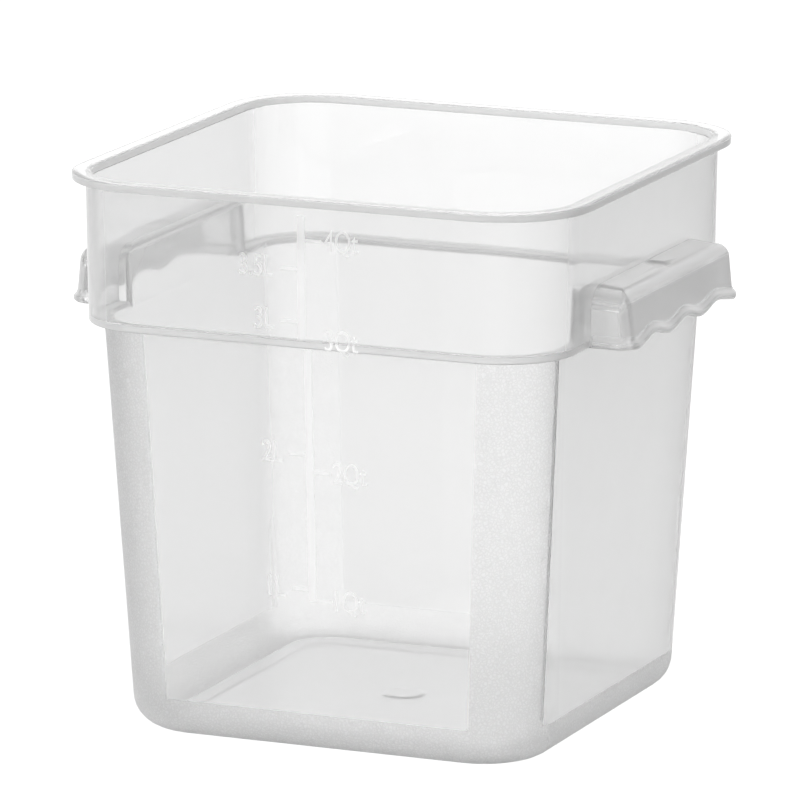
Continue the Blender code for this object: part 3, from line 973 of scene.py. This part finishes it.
def translucent(name, tone, roughness, depth, slant, curve=0.0, grain=0.0, upright_band_shade=0.0, ior=1.49):
    """Milky clear plastic. Depth is how much one face of a wall hides when looked at square on. It hides
    more as the look grows slant, still more on rounded parts, where the look runs along inside the wall,
    and where the wall is solid. A further share adds to that where the face is upright, for a solid band
    whose upright faces look greyer than its level top: painted shade by which way the face turns. With
    grain, the valleys hide more and wear a darker base colour, painted shade of the relief."""
    look = Look(name)
    facing = look.node("ShaderNodeLayerWeight", {"Blend": 0.5}).outputs["Facing"]
    square = look.math("MAXIMUM", look.math("SUBTRACT", 1.0, facing), LEAST_SQUARE)
    bend = look.node("ShaderNodeAttribute", attribute_name="bend").outputs["Fac"]
    solid = look.node("ShaderNodeAttribute", attribute_name="solid").outputs["Fac"]
    power = look.math("MULTIPLY_ADD", bend, -curve, -slant)
    path = look.math("POWER", square, power)
    cloud = look.ramp(look.noise(CLOUD_SCALE, CLOUD_DETAIL), 1.0 - CLOUD_REACH, 1.0 + CLOUD_REACH)
    amount = look.math("MULTIPLY", cloud, look.math("ADD", solid, depth))
    # Upright faces hide more than level ones: painted shade that greys a solid band's sides while its top
    # stays light
    if upright_band_shade:
        normal = look.node("ShaderNodeNewGeometry").outputs["Normal"]
        level = look.math("ABSOLUTE", look.node("ShaderNodeSeparateXYZ", {0: normal}).outputs["Z"])
        amount = look.math("MULTIPLY", amount, look.ramp(level, 1.0 + upright_band_shade, 1.0))
    smear = look.noise(SMEAR_SCALE, SMEAR_DETAIL)
    rough = look.ramp(smear, roughness * (1.0 - SMEAR_REACH), roughness * (1.0 + SMEAR_REACH))
    links = {"Roughness": rough, "IOR": ior, "Base Color": (tone, tone, tone, 1.0)}
    if grain:
        pebble = leather_pebble(look)
        # The grain's valleys hide more and wear a darker base colour: painted shade of the pebble relief,
        # beside the real bump
        amount = look.math("MULTIPLY", amount, look.ramp(pebble, 1.0 + grain, 1.0 - grain))
        shade = look.ramp(pebble, tone * (1 - GRAIN_VALLEY_PAINTED_SHADE * grain), tone)
        grey = look.node("ShaderNodeCombineColor", {0: shade, 1: shade, 2: shade})
        links["Base Color"] = grey.outputs[0]
        relief = look.math("MULTIPLY", pebble, GRAIN_RELIEF * grain)
        bump = look.node("ShaderNodeBump", {"Height": relief, "Strength": 1.0, "Distance": 1.0})
        links["Normal"] = bump.outputs[0]
    way = look.math("MULTIPLY", look.math("MULTIPLY", path, amount), -1.0)
    links["Transmission Weight"] = look.math("EXPONENT", way)
    shader = look.node("ShaderNodeBsdfPrincipled", links)
    look.node("ShaderNodeOutputMaterial", {"Surface": shader.outputs[0]})
    return look.material


def leather_pebble(look):
    """The leather grain, 1 on a pebble and 0 in the valley round it."""
    wander = look.noise(GRAIN_WANDER_SCALE, GRAIN_WANDER_DETAIL, "Color")
    links = {0: wander, 1: (GRAIN_WANDER,) * 3, 2: look.place}
    warp = look.node("ShaderNodeVectorMath", links, operation="MULTIPLY_ADD")
    links = {"Vector": warp.outputs[0], "Scale": GRAIN_SCALE, "Randomness": 1.0}
    cells = look.node("ShaderNodeTexVoronoi", links, feature="DISTANCE_TO_EDGE")
    return look.math("MINIMUM", look.math("MULTIPLY", cells.outputs["Distance"], GRAIN_SLOPE), 1.0)


def joint_look():
    """Where two regions of the one moulding meet inside the wall: nothing shows there."""
    look = Look("moulded_through")
    clear = look.node("ShaderNodeBsdfTransparent")
    look.node("ShaderNodeOutputMaterial", {"Surface": clear.outputs[0]})
    return look.material


clear_joint = joint_look()
polished_plastic = translucent(
    "polished_wall_plastic",
    tone=0.96,
    roughness=0.03,
    depth=0.12,
    slant=1.5,
    curve=1.0,
)
grained_plastic = translucent(
    "leather_grained_plastic",
    tone=0.99,
    roughness=0.32,
    depth=0.014,
    slant=1.8,
    curve=0.4,
    grain=0.85,
    ior=1.27,
)
floor_plastic = translucent(
    "floor_plastic",
    tone=0.94,
    roughness=0.02,
    depth=0.22,
    slant=0.6,
)
collar_plastic = translucent(
    "collar_plastic",
    tone=0.96,
    roughness=0.04,
    depth=0.11,
    slant=1.55,
    curve=0.6,
)
# The flange's upright faces hide far more than its top: painted shade on the sides of a solid band
rim_plastic = translucent(
    "rim_plastic",
    tone=0.96,
    roughness=0.05,
    depth=0.05,
    slant=1.0,
    upright_band_shade=19.0,
)
handle_plastic = translucent(
    "handle_plastic",
    tone=0.95,
    roughness=0.08,
    depth=0.12,
    slant=1.7,
)
raised_plastic = translucent(
    "raised_scale_plastic",
    tone=0.98,
    roughness=0.5,
    depth=0.003,
    slant=1.8,
    ior=1.04,
)


def dress(piece, slot, *nodes):
    """Gives a finished piece its body, and hides the nodes that it stands for. The slot is not used."""
    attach(piece, "root")
    if nodes:
        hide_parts(*nodes)


dress(make_base_pan(), "grained_wall", "base_pan")
for wall, node, slot in make_walls():
    dress(wall, slot, node)
dress(make_collar(), "collar", "collar")
band = swept_band_tree()
rim_inner = collar_top_half - WALL
rim_values = {
    "Half": (rim_half + rim_inner) / 2,
    "Corner": (rim_half + rim_inner) / 2 - collar_corner_centre,
    "Width": rim_half - rim_inner,
    "Depth": height - rim_underside,
    "Edge": RIM_EDGE_RADIUS,
    "Height": (height + rim_underside) / 2,
    "Corner Steps": RIM_CORNER_STEPS,
    "Edge Steps": RIM_EDGE_STEPS,
    "Material": rim_plastic,
}
dress(band.run("lid_flange", rim_values), "rim", "rim_flange")
dress(make_handle("right_side_handle", 1), "handle", "right_handle")
dress(make_handle("left_side_handle", -1), "handle", "left_handle")
dress(make_scale(), "polished_wall")


# Stage, light and camera


def make_camera():
    """A camera at the photograph's angle."""
    data = bpy.data.cameras.new("camera")
    data.sensor_width = SENSOR_WIDTH
    data.lens = FOCAL_PIXELS * SENSOR_WIDTH / PHOTO_PIXELS
    data.clip_end = CAMERA_REACH
    camera = bpy.data.objects.new("camera", data)
    up = CAMERA_RIGHT.cross(CAMERA_LOOK)
    turn = Matrix((CAMERA_RIGHT, up, -CAMERA_LOOK)).transposed()
    camera.matrix_world = Matrix.Translation(CAMERA_PLACE) @ turn.to_4x4()
    bpy.context.scene.collection.objects.link(camera)
    bpy.context.scene.camera = camera


def soft_box(name, place, target, width, tall, power):
    """A rectangular softbox, turned to its target and not seen itself."""
    data = bpy.data.lights.new(name, "AREA")
    data.shape = "RECTANGLE"
    data.size = width
    data.size_y = tall
    data.energy = power
    light = bpy.data.objects.new(name, data)
    light.location = place
    light.rotation_euler = (Vector(target) - Vector(place)).to_track_quat("-Z", "Y").to_euler()
    light.visible_camera = False
    bpy.context.scene.collection.objects.link(light)


def make_floor():
    """A pale floor that glows, a white ground for the object: painted light, full in a strip under the
    object and fading to its sides.
    """
    mesh_data = bmesh.new()
    bmesh.ops.create_grid(mesh_data, x_segments=1, y_segments=1, size=FLOOR_HALF)
    bmesh.ops.translate(mesh_data, verts=mesh_data.verts, vec=(0, 0, -FLOOR_GAP))
    look = Look("glowing_floor")
    across = look.node("ShaderNodeVectorMath", {0: look.place, 1: FLOOR_ACROSS}, operation="DOT_PRODUCT")
    aside = look.math("ABSOLUTE", across.outputs["Value"])
    # The floor's glow is painted light: full in a strip along the camera's view under the object, fading
    # to the sides
    glow = look.node(
        "ShaderNodeMapRange",
        {
            "Value": aside,
            "From Min": FLOOR_FULL_GLOW_HALF,
            "From Max": FLOOR_FADE_HALF,
            "To Min": FLOOR_GLOW,
            "To Max": FLOOR_SIDE_GLOW,
        },
    ).outputs["Result"]
    shader = look.node(
        "ShaderNodeBsdfPrincipled",
        {
            "Base Color": (FLOOR_TONE, FLOOR_TONE, FLOOR_TONE, 1.0),
            "Roughness": FLOOR_ROUGHNESS,
            "Specular IOR Level": 0.0,
            "Emission Color": (1.0, 1.0, 1.0, 1.0),
            "Emission Strength": glow,
        },
    )
    look.node("ShaderNodeOutputMaterial", {"Surface": shader.outputs[0]})
    floor = new_object("floor", mesh_data, (look.material,))
    floor.visible_diffuse = False


def make_world():
    """A white sky that dims a little towards the zenith, and an even light for the plastic's own milk."""
    world = bpy.data.worlds.new("studio")
    world.use_nodes = True
    tree = world.node_tree
    background = tree.nodes["Background"]
    background.inputs["Color"].default_value = (1.0, 1.0, 1.0, 1.0)
    way = tree.nodes.new("ShaderNodeTexCoord").outputs["Generated"]
    split = tree.nodes.new("ShaderNodeSeparateXYZ")
    tree.links.new(way, split.inputs[0])
    sky = tree.nodes.new("ShaderNodeMapRange")
    tree.links.new(split.outputs["Z"], sky.inputs["Value"])
    sky.inputs["From Min"].default_value = HORIZON_TOP
    sky.inputs["From Max"].default_value = ZENITH_FOOT
    sky.inputs["To Min"].default_value = HORIZON_LIGHT
    sky.inputs["To Max"].default_value = ZENITH_LIGHT
    path = tree.nodes.new("ShaderNodeLightPath")
    strength = tree.nodes.new("ShaderNodeMix")
    tree.links.new(path.outputs["Is Diffuse Ray"], strength.inputs["Factor"])
    tree.links.new(sky.outputs["Result"], strength.inputs["A"])
    lean = tree.nodes.new("ShaderNodeVectorMath")
    lean.operation = "DOT_PRODUCT"
    tree.links.new(way, lean.inputs[0])
    lean.inputs[1].default_value = EVEN_LIGHT_WAY
    even = tree.nodes.new("ShaderNodeMath")
    even.operation = "ADD"
    tree.links.new(lean.outputs["Value"], even.inputs[0])
    even.inputs[1].default_value = EVEN_LIGHT
    tree.links.new(even.outputs[0], strength.inputs["B"])
    tree.links.new(strength.outputs["Result"], background.inputs["Strength"])
    bpy.context.scene.world = world


make_camera()
make_floor()
make_world()
for softbox in SOFTBOXES:
    soft_box(*softbox)

scene = bpy.context.scene
scene.view_settings.view_transform = "Standard"
scene.cycles.transparent_max_bounces = CLEAR_BOUNCES
scene.cycles.max_bounces = BOUNCES
scene.cycles.transmission_bounces = BOUNCES
scene.cycles.sample_clamp_indirect = BRIGHTEST_BOUNCE
